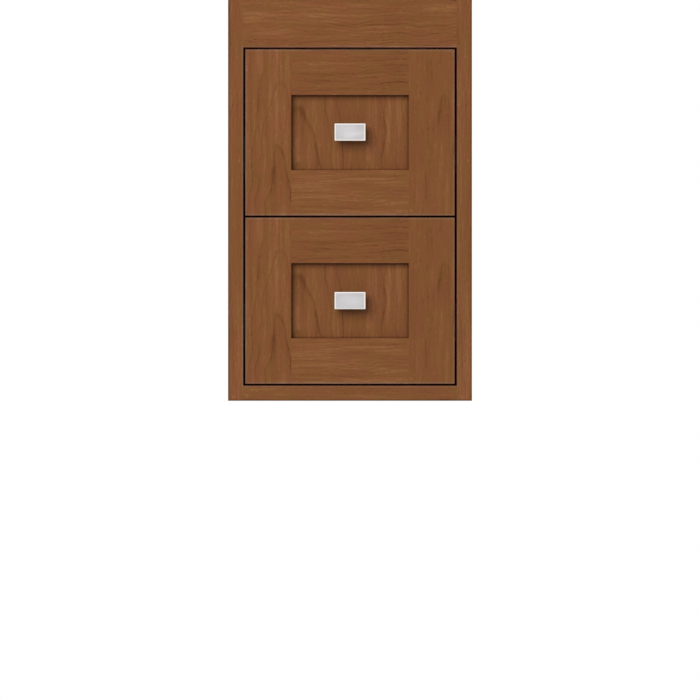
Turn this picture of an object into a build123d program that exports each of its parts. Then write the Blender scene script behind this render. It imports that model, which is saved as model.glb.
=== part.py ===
from build123d import *
import os

# A wall-hung drawer bank for a bathroom: a face-framed case with two inset drawers on ball-bearing slides.
# X runs across the front, +Y into the wall and Z up. The origin is the middle of the back, on the wall.
# All sizes are in millimetres.

# Case and face frame
case_width = 304.8
case_height = 501.65
case_depth = 457.2
stile_width = 19.05  # the side panels are as thick, so both are flush inside the case
frame_depth = 19.05
apron_height = 60.3
bottom_rail_height = 19.05  # the floor is as thick, so both are flush
edge_round = 1.0

# Joints of the case
tongue_thickness = 6.0
tongue_length = 6.0
rabbet_depth = 9.5
wood_fit = 0.1
dowel_diameter = 6.0
dowel_length = 30.0
dowel_chamfer = 0.6
dowel_skin = 8.0  # wood left behind a dowel hole in a stile or a side panel
dowel_fit = 0.05
hole_end_gap = 0.5
dowel_spread_share = 0.5  # distance between two dowels, as a share of the board's width

# Back, hanging rails and top stretchers
back_thickness = 6.35
hang_rail_thickness = 19.05
hang_rail_height = 88.9
wall_hole_diameter = 5.5
wall_hole_inset = 33.35  # from the inside of the case
stretcher_thickness = 19.05
stretcher_width = 76.2
counter_hole_diameter = 6.0
counter_hole_inset = 43.35  # from the inside of the case

# Drawer fronts, each a grooved frame round a floating panel
front_thickness = 19.05
front_stile_width = 57.6
front_rail_width = 57.1
side_reveal = 2.3
level_reveal = 1.9
panel_recess = 9.4
groove_width = 6.35
groove_depth = 10.0
panel_float = 2.0
front_edge_round = 0.8

# Drawer boxes, dovetailed at all four corners
box_thickness = 12.7
box_rise = 14.0  # box above the lower edge of its front
box_drop = 42.0  # box below the upper edge of its front
box_edge_round = 1.5
bottom_thickness = 6.35
bottom_rise = 9.5
bottom_groove = 6.35
tail_count = 5
tail_width_share = 0.62
tail_slope_share = 1 / 6
glue_gap = 0.05

# Slides, from the side panel inwards: outer rail, outer cage, middle rail, inner cage, lever, inner rail
slide_height = 45.7
slide_level_share = 0.42  # of the box's height
rail_gauge = 1.2
slide_gap = 0.4
cage_gauge = 0.5
ball_diameter = 3.0
balls_per_row = 6
race_depth = 0.5
race_land = 0.8
race_fit = 0.05
ball_fit = 0.1
bumper_length = 8.0
slide_setback = 2.0  # between the back of a drawer's front and the slides
rear_clearance = 10.75  # between the drawer box and the hanging rails
rail_overlap = 11.6  # of the inner rail inside the outer one, when the drawer is fully out
cage_margin = 10.0
access_hole_diameter = 10.0
access_hole_shares = (0.3, 0.7)
rail_screw_shares = (0.08, 0.5, 0.92)

# Release levers
lever_thickness = 2.5
lever_length = 30.0
lever_height = 7.0
lever_eye_diameter = 10.0
lever_tip_diameter = 9.0
lever_pin_diameter = 4.0
lever_boss_diameter = 9.0
lever_play = 0.1
pin_fit = 0.05
lever_place_share = 0.34  # of the inner rail's length, from its front

# Screws
screw_diameter = 3.5
screw_head_diameter = 7.0
screw_head_height = 1.8
screw_skin = 3.5  # wood left beyond a screw's tip
thread_fit = 0.05
shank_clearance = 0.25
recess_width = 0.9
recess_length = 4.0
recess_depth = 1.0
front_screw_spread_share = 0.62  # of the box's height

# Knobs
knob_width = 39.0
knob_height = 22.0
knob_head_depth = 8.0
knob_projection = 19.0
knob_bevel = 1.5
knob_bevel_depth = 0.7
knob_corner_round = 0.8
knob_neck_width = 13.0
knob_neck_height = 9.0
knob_foot_width = 17.0
knob_foot_height = 12.0
knob_foot_depth = 2.5
knob_screw_diameter = 4.0
knob_screw_bite = 11.0
knob_screw_head_diameter = 8.0

overrun = 1.0  # how far a through cut runs past a face

# Planes of the case
half_width = case_width / 2
inner_half = half_width - stile_width
front_y = -case_depth
frame_back = front_y + frame_depth
back_front = -back_thickness
hang_front = back_front - hang_rail_thickness
case_top = case_height / 2
case_bottom = -case_top
floor_top = case_bottom + bottom_rail_height
opening_top = case_top - apron_height
tongue_middle = inner_half + stile_width / 2
tongue_x = (tongue_middle - tongue_thickness / 2, tongue_middle + tongue_thickness / 2)

# Drawer fronts and boxes
drawers = ("lower", "upper")
hands = {"left": -1, "right": 1}
front_half = inner_half - side_reveal
front_height = (opening_top - floor_top - level_reveal) / len(drawers) - level_reveal
front_back = front_y + front_thickness
panel_half_width = front_half - front_stile_width
panel_face = front_y + panel_recess + wood_fit
groove_y = (front_y + panel_recess, front_y + panel_recess + groove_width)
tongue_y = (panel_face, groove_y[1] - wood_fit)
box_height = front_height - box_rise - box_drop
tail_pitch = box_height / tail_count
tail_half = tail_width_share * tail_pitch / 2

# Depths into the case, measured from the inside of a side panel
outer_cage_depth = rail_gauge + screw_head_height + slide_gap
middle_web_depth = outer_cage_depth + cage_gauge + slide_gap
inner_cage_depth = middle_web_depth + rail_gauge + slide_gap
lever_depth = inner_cage_depth + cage_gauge + slide_gap
lever_back_depth = lever_depth + lever_thickness
inner_web_depth = lever_back_depth + slide_gap + screw_head_height
slide_thickness = inner_web_depth + rail_gauge
ball_radius = ball_diameter / 2
outer_ball_depth = middle_web_depth + slide_gap + ball_radius
inner_ball_depth = outer_ball_depth + ball_diameter

# Half heights of the nested rails and of their rows of balls
row_gap = ball_diameter - 2 * race_depth
outer_half = slide_height / 2
middle_half = outer_half - rail_gauge - row_gap
inner_rail_half = middle_half - rail_gauge - row_gap
outer_row_half = middle_half + row_gap / 2
inner_row_half = inner_rail_half + row_gap / 2

# Lengths along the slides, which start behind the drawer's front
slide_front = front_back + slide_setback
slide_back = hang_front - rear_clearance
slide_length = slide_back - slide_front
rail_run = slide_length - bumper_length - slide_gap
drawer_travel = rail_run - rail_overlap
cage_start = slide_front + drawer_travel / 4 + cage_margin
cage_length = rail_run - drawer_travel / 2 - 2 * cage_margin
slide_y = (slide_front, slide_back)
rail_y = (slide_front, slide_front + rail_run)
cage_y = (cage_start, cage_start + cage_length)

box_half = inner_half - slide_thickness
box_inner_half = box_half - box_thickness
box_y = (front_back, slide_back)
box_inner_y = (front_back + box_thickness, slide_back - box_thickness)


def front_bottom(drawer):
    """Height of the lower edge of a drawer's front."""
    return floor_top + level_reveal + drawers.index(drawer) * (front_height + level_reveal)


def box_bottom(drawer):
    """Height of the lower edge of a drawer's box."""
    return front_bottom(drawer) + box_rise


def slide_level(drawer):
    """Height of the middle line of a drawer's slides."""
    return box_bottom(drawer) + slide_level_share * box_height


def handed(hand, near, far):
    """Span in X from near to far of the middle plane, on the left or the right."""
    return (near, far) if hand > 0 else (-far, -near)


def inwards(hand, start, end):
    """Span in X between two depths measured from the inside of a side panel."""
    return handed(hand, inner_half - end, inner_half - start)


def block(x, y, z, mode=Mode.ADD):
    """A square-edged block over three spans, each a low and a high value."""
    with Locations(((x[0] + x[1]) / 2, (y[0] + y[1]) / 2, (z[0] + z[1]) / 2)):
        Box(x[1] - x[0], y[1] - y[0], z[1] - z[0], mode=mode)


def save(builder, name):
    """Labels a finished piece and writes it as its own file."""
    builder.part.label = name
    export_step(builder.part, f"parts/{name}.step")


os.makedirs("parts", exist_ok=True)

# Dowel places
# Each is the end of one board against the inside of the case, as its Y and Z.
frame_dowel_y = (front_y + frame_back - tongue_length) / 2
apron_middle = (opening_top + case_top) / 2
bottom_rail_middle = (case_bottom + floor_top) / 2
stretcher_level = case_top - stretcher_thickness / 2
stretcher_y = (frame_back + stretcher_width / 2, back_front - stretcher_width / 2)
hang_rail_y = back_front - hang_rail_thickness / 2
hang_levels = {
    "upper": case_top - stretcher_thickness - hang_rail_height / 2,
    "lower": floor_top + hang_rail_height / 2,
}


def pair(middle, width):
    """Two places spread evenly about the middle of a board."""
    return [middle + sign * dowel_spread_share * width / 2 for sign in (-1, 1)]


apron_dowels = [(frame_dowel_y, z) for z in pair(apron_middle, apron_height)]
bottom_rail_dowels = [(frame_dowel_y, bottom_rail_middle)]
frame_dowels = apron_dowels + bottom_rail_dowels
stretcher_dowels = [[(y, stretcher_level) for y in pair(middle, stretcher_width)] for middle in stretcher_y]
hang_dowels = {}
for name, level in hang_levels.items():
    hang_dowels[name] = [(hang_rail_y, z) for z in pair(level, hang_rail_height)]
case_dowels = stretcher_dowels[0] + stretcher_dowels[1] + hang_dowels["upper"] + hang_dowels["lower"]

dowel_outer_end = half_width - dowel_skin
dowel_inner_end = dowel_outer_end - dowel_length
dowel_hole_radius = dowel_diameter / 2 + dowel_fit


def dowel_holes(hand, places, near, far):
    """Bores level holes along X, from near to far of the middle plane."""
    with Locations(*[(hand * (near + far) / 2, y, z) for y, z in places]):
        Cylinder(dowel_hole_radius, far - near, rotation=(0, 90, 0), mode=Mode.SUBTRACT)


def end_holes(places):
    """Bores the dowel holes in both ends of a board that lies between the sides."""
    for hand in hands.values():
        dowel_holes(hand, places, dowel_inner_end - hole_end_gap, inner_half + overrun)


# Screw seats
# Each is a plane on the face under the head, with its normal pointing out of the head.
def outer_screw_seats(drawer, hand):
    """Under the heads of the screws that hold an outer rail to its side panel."""
    x = hand * (inner_half - rail_gauge)
    places = [slide_front + share * slide_length for share in rail_screw_shares]
    return [Plane((x, y, slide_level(drawer)), x_dir=(0, 1, 0), z_dir=(-hand, 0, 0)) for y in places]


def inner_screw_seats(drawer, hand):
    """Under the heads of the screws that hold an inner rail to the drawer box."""
    x = hand * (inner_half - inner_web_depth)
    places = [slide_front + share * rail_run for share in rail_screw_shares]
    return [Plane((x, y, slide_level(drawer)), x_dir=(0, 1, 0), z_dir=(hand, 0, 0)) for y in places]


def front_screw_seats(drawer):
    """Under the heads of the screws through the box into a front's stiles, between groove and box side."""
    x = (panel_half_width + groove_depth + box_inner_half) / 2
    middle = box_bottom(drawer) + box_height / 2
    rise = front_screw_spread_share * box_height / 2
    places = [(side * x, middle + up * rise) for side in (-1, 1) for up in (-1, 1)]
    return [Plane((px, box_inner_y[0], pz), x_dir=(1, 0, 0), z_dir=(0, 1, 0)) for px, pz in places]


def knob_seat(drawer):
    """Under the head of a knob's screw, inside the drawer box."""
    level = front_bottom(drawer) + front_height / 2
    return Plane((0, box_inner_y[0], level), x_dir=(1, 0, 0), z_dir=(0, 1, 0))


def drill(seats, diameter, depth):
    """Bores a straight hole into the material under each seat, starting clear of it."""
    with Locations(*seats):
        with Locations((0, 0, overrun)):
            top = (Align.CENTER, Align.CENTER, Align.MAX)
            Cylinder(diameter / 2, depth + overrun, align=top, mode=Mode.SUBTRACT)


def screws(seats, diameter, length, head_diameter):
    """Round-headed screws with a cross recess, one at each seat."""
    below = (Align.CENTER, Align.CENTER, Align.MAX)
    above = (Align.CENTER, Align.CENTER, Align.MIN)
    with Locations(*seats):
        Cylinder(diameter / 2, length, align=below)
        Cylinder(head_diameter / 2, screw_head_height, align=above)
        with Locations((0, 0, screw_head_height)):
            Box(recess_length, recess_width, recess_depth, align=below, mode=Mode.SUBTRACT)
            Box(recess_width, recess_length, recess_depth, align=below, mode=Mode.SUBTRACT)


rail_screw_length = rail_gauge + stile_width - screw_skin
inner_screw_length = rail_gauge + box_thickness - screw_skin
front_screw_length = box_thickness + front_thickness - screw_skin
pilot_diameter = screw_diameter + 2 * thread_fit
loose_diameter = screw_diameter + 2 * shank_clearance
knob_screw_length = front_back + box_thickness - panel_face + knob_screw_bite
knob_hole_diameter = knob_screw_diameter + 2 * shank_clearance

# Side panels, rabbeted for the back and the floor and tongued into the face frame
for side, hand in hands.items():
    with BuildPart() as side_panel:
        block(handed(hand, inner_half, half_width), (frame_back, 0), (case_bottom, case_top))
        block(handed(hand, *tongue_x), (frame_back - tongue_length, frame_back), (case_bottom, case_top))
        rabbet = handed(hand, inner_half - overrun, inner_half + rabbet_depth)
        block(rabbet, (back_front, overrun), (case_bottom - overrun, case_top + overrun), Mode.SUBTRACT)
        block(rabbet, (frame_back - overrun, overrun), (case_bottom - overrun, floor_top), Mode.SUBTRACT)
        dowel_holes(hand, case_dowels, inner_half - overrun, dowel_outer_end + hole_end_gap)
        for drawer in drawers:
            drill(outer_screw_seats(drawer, hand), pilot_diameter, rail_screw_length + hole_end_gap)
    save(side_panel, f"{side}_side_panel")

# Face frame: full-height stiles with the apron and the bottom rail dowelled between them
for side, hand in hands.items():
    with BuildPart() as frame_stile:
        block(handed(hand, inner_half, half_width), (front_y, frame_back), (case_bottom, case_top))
        groove_x = (tongue_x[0] - wood_fit, tongue_x[1] + wood_fit)
        groove_depths = (frame_back - tongue_length - wood_fit, frame_back + overrun)
        full_height = (case_bottom - overrun, case_top + overrun)
        block(handed(hand, *groove_x), groove_depths, full_height, Mode.SUBTRACT)
        dowel_holes(hand, frame_dowels, inner_half - overrun, dowel_outer_end + hole_end_gap)
        corner = Vertex(hand * half_width, front_y, 0)
        fillet(frame_stile.edges().filter_by(Axis.Z).sort_by_distance(corner)[0], radius=edge_round)
    save(frame_stile, f"{side}_frame_stile")

with BuildPart() as apron:
    block((-inner_half, inner_half), (front_y, frame_back), (opening_top, case_top))
    end_holes(apron_dowels)
save(apron, "apron")

with BuildPart() as bottom_frame_rail:
    block((-inner_half, inner_half), (front_y, frame_back), (case_bottom, floor_top))
    end_holes(bottom_rail_dowels)
save(bottom_frame_rail, "bottom_frame_rail")

# Floor and back, housed in the side panels' rabbets
housed_half = inner_half + rabbet_depth - wood_fit
with BuildPart() as case_floor:
    block((-housed_half, housed_half), (frame_back, back_front), (case_bottom, floor_top))
save(case_floor, "case_floor")

wall_hole_x = inner_half - wall_hole_inset
wall_holes = [(side * wall_hole_x, 0, level) for side in hands.values() for level in hang_levels.values()]
with BuildPart() as back_panel:
    block((-housed_half, housed_half), (back_front, 0), (case_bottom, case_top))
    with Locations(*wall_holes):
        through = 2 * back_thickness + overrun
        Cylinder(wall_hole_diameter / 2, through, rotation=(90, 0, 0), mode=Mode.SUBTRACT)
save(back_panel, "back_panel")

# Hanging rails, which the wall screws go through
for name, level in hang_levels.items():
    with BuildPart() as hanging_rail:
        block(
            (-inner_half, inner_half),
            (hang_front, back_front),
            (level - hang_rail_height / 2, level + hang_rail_height / 2),
        )
        end_holes(hang_dowels[name])
        with Locations(*[(side * wall_hole_x, hang_rail_y, level) for side in hands.values()]):
            through = hang_rail_thickness + overrun
            Cylinder(wall_hole_diameter / 2, through, rotation=(90, 0, 0), mode=Mode.SUBTRACT)
    save(hanging_rail, f"{name}_hanging_rail")

# Top stretchers, which take the counter's screws
counter_hole_x = inner_half - counter_hole_inset
for name, middle, places in zip(("front", "rear"), stretcher_y, stretcher_dowels):
    with BuildPart() as top_stretcher:
        block(
            (-inner_half, inner_half),
            (middle - stretcher_width / 2, middle + stretcher_width / 2),
            (case_top - stretcher_thickness, case_top),
        )
        end_holes(places)
        with Locations(*[(side * counter_hole_x, middle, stretcher_level) for side in hands.values()]):
            Cylinder(counter_hole_diameter / 2, stretcher_thickness + overrun, mode=Mode.SUBTRACT)
    save(top_stretcher, f"{name}_top_stretcher")

# Dowels, half in the side piece and half in the board's end
for name, places in {"case_dowels": case_dowels, "frame_dowels": frame_dowels}.items():
    with BuildPart() as dowels:
        middle = (dowel_inner_end + dowel_outer_end) / 2
        with Locations(*[(hand * middle, y, z) for hand in hands.values() for y, z in places]):
            Cylinder(dowel_diameter / 2, dowel_length, rotation=(0, 90, 0))
        chamfer(dowels.edges().filter_by(GeomType.CIRCLE), length=dowel_chamfer)
    save(dowels, name)


# Slides
def channel(hand, level, web, flange, half, gauge, y):
    """A C-section rail: a web and two flanges, each between two depths, inside a half height."""
    block(inwards(hand, *web), y, (level - half, level + half))
    block(inwards(hand, *flange), y, (level + half - gauge, level + half))
    block(inwards(hand, *flange), y, (level - half, level - half + gauge))


def races(hand, level, depth, row_half, y):
    """Cuts the round tracks of one upper and one lower row of balls into the flanges beside them."""
    x = hand * (inner_half - depth)
    middle = (y[0] + y[1]) / 2
    with Locations(*[(x, middle, level + up * row_half) for up in (-1, 1)]):
        track = ball_radius + race_fit
        Cylinder(track, y[1] - y[0] + overrun, rotation=(90, 0, 0), mode=Mode.SUBTRACT)


outer_flange_end = outer_ball_depth + ball_radius + race_land
middle_flange_end = inner_ball_depth + ball_radius + race_land
inner_flange_start = inner_ball_depth - ball_radius - race_land

for drawer in drawers:
    for side, hand in hands.items():
        with BuildPart() as outer_rail:
            web = (0, rail_gauge)
            channel(hand, slide_level(drawer), web, (0, outer_flange_end), outer_half, rail_gauge, slide_y)
            races(hand, slide_level(drawer), outer_ball_depth, outer_row_half, slide_y)
            drill(outer_screw_seats(drawer, hand), loose_diameter, rail_gauge + overrun)
        save(outer_rail, f"{drawer}_{side}_outer_rail")

with BuildPart() as outer_rail_screws:
    for drawer in drawers:
        for hand in hands.values():
            screws(outer_screw_seats(drawer, hand), screw_diameter, rail_screw_length, screw_head_diameter)
save(outer_rail_screws, "outer_rail_screws")

# Rubber stops in the back ends of the outer rails
with BuildPart() as slide_bumpers:
    for drawer in drawers:
        for hand in hands.values():
            reach = outer_half - rail_gauge
            level = slide_level(drawer)
            bumper_y = (slide_back - bumper_length, slide_back)
            block(inwards(hand, rail_gauge, outer_flange_end), bumper_y, (level - reach, level + reach))
save(slide_bumpers, "slide_bumpers")

for drawer in drawers:
    level = slide_level(drawer)
    with BuildPart() as middle_rails:
        for hand in hands.values():
            web = (middle_web_depth, middle_web_depth + rail_gauge)
            channel(hand, level, web, (middle_web_depth, middle_flange_end), middle_half, rail_gauge, rail_y)
            races(hand, level, outer_ball_depth, outer_row_half, rail_y)
            races(hand, level, inner_ball_depth, inner_row_half, rail_y)
            x = hand * (inner_half - middle_web_depth - rail_gauge / 2)
            with Locations(*[(x, slide_front + share * rail_run, level) for share in access_hole_shares]):
                through = rail_gauge + overrun
                Cylinder(access_hole_diameter / 2, through, rotation=(0, 90, 0), mode=Mode.SUBTRACT)
    save(middle_rails, f"{drawer}_middle_rails")


def ball_places(hand, level, depth, row_half):
    """Centres of the balls in the upper and the lower row of one cage, evenly spread along it."""
    x = hand * (inner_half - depth)
    pitch = cage_length / balls_per_row
    rows = [(cage_start + (i + 1 / 2) * pitch, up) for i in range(balls_per_row) for up in (-1, 1)]
    return [(x, y, level + up * row_half) for y, up in rows]


def ball_cage(hand, level, web_depth, ball_depth, row_half):
    """A thin channel with a hole round each ball, and the balls in it."""
    end = ball_depth + ball_radius + race_land
    half = row_half + cage_gauge / 2
    channel(hand, level, (web_depth, web_depth + cage_gauge), (web_depth, end), half, cage_gauge, cage_y)
    with Locations(*ball_places(hand, level, ball_depth, row_half)):
        Cylinder(ball_radius + ball_fit, cage_gauge + overrun, mode=Mode.SUBTRACT)
    with Locations(*ball_places(hand, level, ball_depth, row_half)):
        Sphere(ball_radius)


for drawer in drawers:
    with BuildPart() as outer_ball_cages:
        for hand in hands.values():
            ball_cage(hand, slide_level(drawer), outer_cage_depth, outer_ball_depth, outer_row_half)
    save(outer_ball_cages, f"{drawer}_outer_ball_cages")

    with BuildPart() as inner_ball_cages:
        for hand in hands.values():
            ball_cage(hand, slide_level(drawer), inner_cage_depth, inner_ball_depth, inner_row_half)
    save(inner_ball_cages, f"{drawer}_inner_ball_cages")

# Inner rails, each with the stepped pin that its release lever turns on
lever_y = slide_front + lever_place_share * rail_run
for drawer in drawers:
    level = slide_level(drawer)
    with BuildPart() as inner_rails:
        for hand in hands.values():
            web = (inner_web_depth, slide_thickness)
            flange = (inner_flange_start, slide_thickness)
            channel(hand, level, web, flange, inner_rail_half, rail_gauge, rail_y)
            races(hand, level, inner_ball_depth, inner_row_half, rail_y)
            drill(inner_screw_seats(drawer, hand), loose_diameter, rail_gauge + overrun)
            steps = ((lever_depth, lever_pin_diameter), (lever_back_depth + lever_play, lever_boss_diameter))
            for start, diameter in steps:
                x = hand * (inner_half - (start + inner_web_depth) / 2)
                with Locations((x, lever_y, level)):
                    Cylinder(diameter / 2, inner_web_depth - start, rotation=(0, 90, 0))
    save(inner_rails, f"{drawer}_inner_rails")

    with BuildPart() as inner_rail_screws:
        for hand in hands.values():
            screws(inner_screw_seats(drawer, hand), screw_diameter, inner_screw_length, screw_head_diameter)
    save(inner_rail_screws, f"{drawer}_inner_rail_screws")

    for side, hand in hands.items():
        with BuildPart() as release_lever:
            near = inwards(hand, lever_depth, lever_back_depth)[0]
            with BuildSketch(Plane.YZ.offset(near)):
                with Locations((lever_y, level)):
                    Circle(lever_eye_diameter / 2)
                with Locations((lever_y - lever_length / 2, level)):
                    Rectangle(lever_length, lever_height)
                with Locations((lever_y - lever_length, level)):
                    Circle(lever_tip_diameter / 2)
                with Locations((lever_y, level)):
                    Circle(lever_pin_diameter / 2 + pin_fit, mode=Mode.SUBTRACT)
            extrude(amount=lever_thickness)
        save(release_lever, f"{drawer}_{side}_release_lever")


# Drawer boxes
def tails(drawer, end, base, gap):
    """Outlines, in Y and Z, of a row of dovetails that widen from base to end, grown by a gap."""
    slope = tail_slope_share * box_thickness
    for i in range(tail_count):
        middle = box_bottom(drawer) + (i + 1 / 2) * tail_pitch
        wide = tail_half + gap
        narrow = tail_half - slope + gap
        lower = ((base, middle - narrow), (end, middle - wide))
        upper = ((end, middle + wide), (base, middle + narrow))
        Polygon(*lower, *upper, align=None)


def bottom_span(drawer, grow):
    """The drawer bottom's three spans, grown into its grooves."""
    low = box_bottom(drawer) + bottom_rise
    half = box_inner_half + bottom_groove - panel_float + grow * panel_float
    near = box_inner_y[0] - bottom_groove + panel_float - grow * panel_float
    far = box_inner_y[1] + bottom_groove - panel_float + grow * panel_float
    fit = grow * wood_fit
    return (-half, half), (near, far), (low - fit, low + bottom_thickness + fit)


for drawer in drawers:
    low = box_bottom(drawer)
    z = (low, low + box_height)

    for side, hand in hands.items():
        with BuildPart() as box_side:
            block(handed(hand, box_inner_half, box_half), box_inner_y, z)
            with BuildSketch(Plane.YZ.offset(handed(hand, box_inner_half, box_half)[0])):
                tails(drawer, box_y[0], box_inner_y[0], 0)
                tails(drawer, box_y[1], box_inner_y[1], 0)
            extrude(amount=box_thickness)
            block(*bottom_span(drawer, 1), Mode.SUBTRACT)
            drill(inner_screw_seats(drawer, hand), pilot_diameter, inner_screw_length + hole_end_gap)
            fillet(box_side.edges().filter_by(Axis.Y).group_by(Axis.Z)[-1], radius=box_edge_round)
        save(box_side, f"{drawer}_box_{side}_side")

    for end, base, name in ((box_y[0], box_inner_y[0], "front"), (box_y[1], box_inner_y[1], "back")):
        with BuildPart() as box_end:
            block((-box_half, box_half), (min(end, base), max(end, base)), z)
            for hand in hands.values():
                near = handed(hand, box_inner_half - glue_gap, box_half)[0]
                with BuildSketch(Plane.YZ.offset(near)):
                    tails(drawer, end, base, glue_gap)
                extrude(amount=box_thickness + glue_gap, mode=Mode.SUBTRACT)
            block(*bottom_span(drawer, 1), Mode.SUBTRACT)
            if name == "front":
                drill(front_screw_seats(drawer), loose_diameter, box_thickness + overrun)
                drill([knob_seat(drawer)], knob_hole_diameter, box_thickness + overrun)
            fillet(box_end.edges().filter_by(Axis.X).group_by(Axis.Z)[-1], radius=box_edge_round)
        save(box_end, f"{drawer}_box_{name}")

    with BuildPart() as box_bottom_board:
        block(*bottom_span(drawer, 0))
    save(box_bottom_board, f"{drawer}_box_bottom")

# Drawer fronts: stiles grooved from end to end, rails with stub tenons in the same grooves
for drawer in drawers:
    low = front_bottom(drawer)
    high = low + front_height
    front_span = (front_y, front_back)

    for side, hand in hands.items():
        with BuildPart() as front_stile:
            block(handed(hand, panel_half_width, front_half), front_span, (low, high))
            groove = handed(hand, panel_half_width - overrun, panel_half_width + groove_depth)
            block(groove, groove_y, (low - overrun, high + overrun), Mode.SUBTRACT)
            drill(front_screw_seats(drawer), pilot_diameter, front_screw_length + hole_end_gap)
            rim = front_stile.faces().sort_by(Axis.Y)[0].edges().sort_by(Axis.X)
            fillet(rim[1:] if hand > 0 else rim[:-1], radius=front_edge_round)
        save(front_stile, f"{drawer}_front_{side}_stile")

    inside = (low + front_rail_width, high - front_rail_width)
    for name, up in (("bottom", -1), ("top", 1)):
        with BuildPart() as front_rail:
            outer_edge = high if up > 0 else low
            inner_edge = inside[1] if up > 0 else inside[0]
            groove_end = inner_edge + up * groove_depth
            rail_z = sorted((inner_edge, outer_edge))
            block((-panel_half_width, panel_half_width), front_span, rail_z)
            rim = front_rail.faces().sort_by(Axis.Y)[0].edges().sort_by(Axis.Z)
            fillet(rim[-1] if up > 0 else rim[0], radius=front_edge_round)
            tenon_half = panel_half_width + groove_depth - wood_fit
            block((-tenon_half, tenon_half), tongue_y, sorted((groove_end, outer_edge)))
            groove_z = sorted((inner_edge - up * overrun, groove_end))
            block((-tenon_half - overrun, tenon_half + overrun), groove_y, groove_z, Mode.SUBTRACT)
        save(front_rail, f"{drawer}_front_{name}_rail")

    with BuildPart() as front_panel:
        reach = groove_depth - panel_float
        panel_x = (-panel_half_width - reach, panel_half_width + reach)
        block(panel_x, tongue_y, (inside[0] - reach, inside[1] + reach))
        field_x = (-panel_half_width + wood_fit, panel_half_width - wood_fit)
        block(field_x, (tongue_y[0], front_back), (inside[0] + wood_fit, inside[1] - wood_fit))
        drill([knob_seat(drawer)], knob_hole_diameter, knob_screw_length)
    save(front_panel, f"{drawer}_front_panel")

    with BuildPart() as front_screws:
        screws(front_screw_seats(drawer), screw_diameter, front_screw_length, screw_head_diameter)
    save(front_screws, f"{drawer}_front_screws")

# Knobs: a bevelled oblong head on a tapered neck, held by one screw from inside the box
for drawer in drawers:
    level = front_bottom(drawer) + front_height / 2
    facing = Plane((0, panel_face, level), x_dir=(1, 0, 0), z_dir=(0, -1, 0))
    head_start = knob_projection - knob_head_depth
    bevel_start = knob_projection - knob_bevel_depth
    with BuildPart() as knob:
        with BuildSketch(facing):
            RectangleRounded(knob_foot_width, knob_foot_height, knob_corner_round)
        extrude(amount=knob_foot_depth)
        with BuildSketch(facing.offset(knob_foot_depth)):
            RectangleRounded(knob_foot_width, knob_foot_height, knob_corner_round)
        with BuildSketch(facing.offset(head_start)):
            RectangleRounded(knob_neck_width, knob_neck_height, knob_corner_round)
        loft()
        with BuildSketch(facing.offset(head_start)):
            RectangleRounded(knob_width, knob_height, knob_corner_round)
        extrude(amount=knob_head_depth - knob_bevel_depth)
        with BuildSketch(facing.offset(bevel_start)):
            RectangleRounded(knob_width, knob_height, knob_corner_round)
        with BuildSketch(facing.offset(knob_projection)):
            RectangleRounded(knob_width - 2 * knob_bevel, knob_height - 2 * knob_bevel, knob_corner_round)
        loft()
        drill([knob_seat(drawer)], knob_screw_diameter + 2 * thread_fit, knob_screw_length + hole_end_gap)
    save(knob, f"{drawer}_knob")

    with BuildPart() as knob_screw:
        screws([knob_seat(drawer)], knob_screw_diameter, knob_screw_length, knob_screw_head_diameter)
    save(knob_screw, f"{drawer}_knob_screw")

print("drawer travel", round(drawer_travel, 2), "slide thickness", round(slide_thickness, 2))
print("front height", round(front_height, 2), "box height", round(box_height, 2))
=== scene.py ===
import math

import bpy
import numpy as np
from mathutils import Euler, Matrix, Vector


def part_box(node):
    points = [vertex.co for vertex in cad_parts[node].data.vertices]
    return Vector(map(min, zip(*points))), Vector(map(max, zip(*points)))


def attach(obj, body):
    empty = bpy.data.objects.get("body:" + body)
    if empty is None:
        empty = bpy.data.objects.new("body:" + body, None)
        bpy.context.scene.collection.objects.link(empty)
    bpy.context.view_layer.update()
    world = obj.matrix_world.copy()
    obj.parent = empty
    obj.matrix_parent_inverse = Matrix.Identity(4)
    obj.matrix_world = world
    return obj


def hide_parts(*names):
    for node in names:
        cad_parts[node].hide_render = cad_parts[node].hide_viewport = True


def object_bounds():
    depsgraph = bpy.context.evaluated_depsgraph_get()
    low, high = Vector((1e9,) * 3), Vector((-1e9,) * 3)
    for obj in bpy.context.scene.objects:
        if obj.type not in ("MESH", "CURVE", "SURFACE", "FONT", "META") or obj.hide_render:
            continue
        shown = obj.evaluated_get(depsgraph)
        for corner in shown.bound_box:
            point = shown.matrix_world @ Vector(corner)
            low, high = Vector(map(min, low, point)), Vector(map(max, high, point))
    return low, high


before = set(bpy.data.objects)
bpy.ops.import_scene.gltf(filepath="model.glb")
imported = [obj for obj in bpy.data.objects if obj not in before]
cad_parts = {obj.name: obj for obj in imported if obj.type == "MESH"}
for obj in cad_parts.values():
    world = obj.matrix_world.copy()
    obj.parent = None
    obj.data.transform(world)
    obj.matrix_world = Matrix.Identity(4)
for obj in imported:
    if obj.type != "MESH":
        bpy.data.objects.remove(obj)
cad_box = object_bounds()


# Side panels
# Each side is glued up from cherry strips, stained brown and lacquered outside, and bare inside, with painted
# shade.
# Its front edge is tongued into the face frame, and rabbets take the floor and the back.
def add(tree, kind, inputs=None, **settings):
    """Adds a node, sets its properties, and gives each named input a value or a link."""
    made = tree.nodes.new(kind)
    for name, value in settings.items():
        setattr(made, name, value)
    for name, value in (inputs or {}).items():
        if isinstance(value, bpy.types.NodeSocket):
            tree.links.new(value, made.inputs[name])
        else:
            made.inputs[name].default_value = value
    return made


def calc(tree, operation, *terms):
    """The result of one sum on numbers or sockets."""
    return add(tree, "ShaderNodeMath", dict(enumerate(terms)), operation=operation).outputs[0]


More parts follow.
